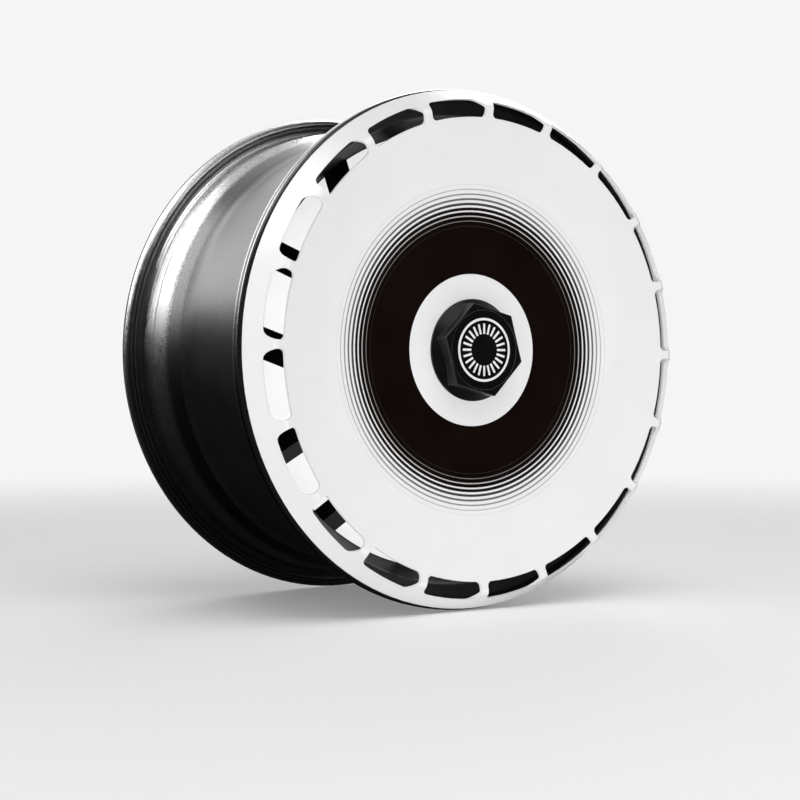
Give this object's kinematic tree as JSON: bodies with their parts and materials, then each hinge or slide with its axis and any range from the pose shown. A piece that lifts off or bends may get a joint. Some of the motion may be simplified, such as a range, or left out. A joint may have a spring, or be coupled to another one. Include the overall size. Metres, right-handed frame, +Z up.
{
  "type": "car wheel with disc hubcap",
  "caption": "Alloy car wheel with slotted spokes, closed by a windowed white disc hubcap that a black hexagon centre nut holds on a post.",
  "frame": {"origin": "on the wheel's axis at the hub's mounting face", "axes": "+Y along the axis towards the car, so the front faces -Y; +Z up; +X to the right as the front is seen"},
  "size_m": [0.5189, 0.2874, 0.519],
  "materials": {
    "wheel_paint": "dark satin paint, spoke faces white",
    "disc_paint": "white satin paint",
    "print_black": "satin print",
    "seal_rubber": "matt",
    "turned_aluminium": "turned",
    "black_steel": "blackened",
    "bright_steel": "ground",
    "washer_plastic": "matt",
    "nut_black": "black anodised",
    "cap_gloss": "gloss",
    "print_white": "satin print"
  },
  "bodies": {
    "root": {"wheel": "wheel_paint", "aero_disc": "disc_paint", "print_band": "print_black", "print_rings": "print_black", "edge_seal": "seal_rubber", "tower": "turned_aluminium", "tower_gasket": "seal_rubber", "clamp_ring": "turned_aluminium", "clamp_screws": "black_steel", "tower_dowels": "bright_steel", "disc_seat": "washer_plastic", "nut_washer": "washer_plastic", "centre_nut": "nut_black", "nut_oring": "seal_rubber", "cap_insert": "cap_gloss", "cap_clip": "bright_steel", "cap_badge": "print_white"}
  },
  "joints": []
}
